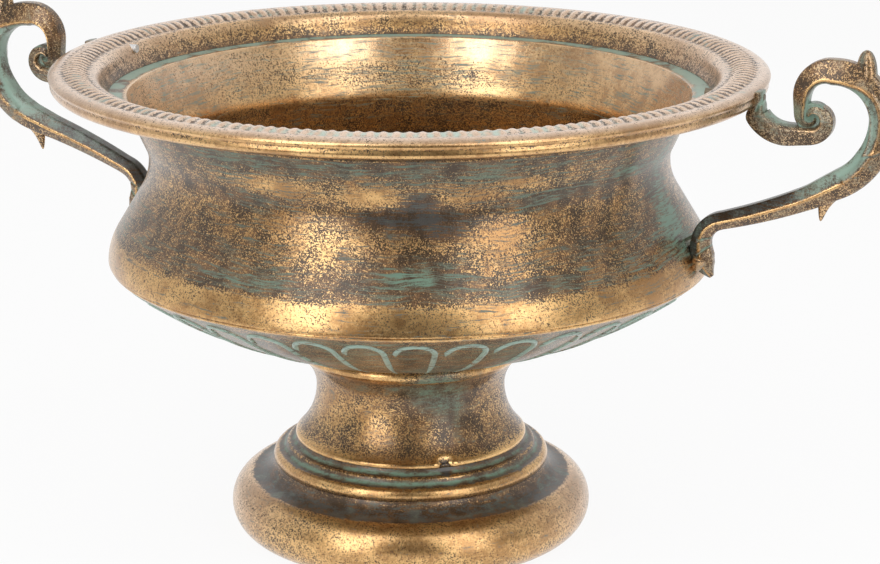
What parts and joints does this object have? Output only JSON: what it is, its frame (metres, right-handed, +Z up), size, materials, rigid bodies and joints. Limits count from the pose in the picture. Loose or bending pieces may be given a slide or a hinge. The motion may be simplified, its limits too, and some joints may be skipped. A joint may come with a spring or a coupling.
{
  "type": "footed metal urn with scroll handles",
  "caption": "Footed bowl-shaped metal urn with a fluted rim, waisted neck and stem, round foot and scroll handles, in aged bronze with verdigris.",
  "frame": {"origin": "centre of the standing face under the foot", "axes": "+Z up along the urn's axis, +X towards the right handle, +Y to the back"},
  "size_m": [0.3842, 0.28, 0.2081],
  "materials": {
    "bowl_patina": "sponged aged bronze with verdigris brushed across it",
    "rim_patina": "aged bronze, verdigris in the flutes, worn bright on the beads",
    "stem_patina": "worn golden bronze with dark hollows and verdigris grooves",
    "handle_patina": "verdigris casting with edges worn to gold",
    "bright_rivet": "bright, peened end",
    "plated_fastener": "dull zinc plating",
    "seal_rubber": "matt black"
  },
  "bodies": {
    "root": {"foot": "stem_patina", "stem": "stem_patina", "stem_collar": "stem_patina", "bowl_dish": "bowl_patina", "bowl_body": "bowl_patina", "rim_ring": "rim_patina", "handle_right": "handle_patina", "handle_left": "handle_patina", "handle_rim_rivets": "bright_rivet", "handle_bowl_screws": "plated_fastener", "handle_bowl_washers": "plated_fastener", "tie_bolt": "plated_fastener", "seal_washer": "seal_rubber", "bowl_washer": "plated_fastener", "clamp_washer": "plated_fastener", "lock_washer": "plated_fastener", "tie_nut": "plated_fastener"}
  },
  "joints": []
}
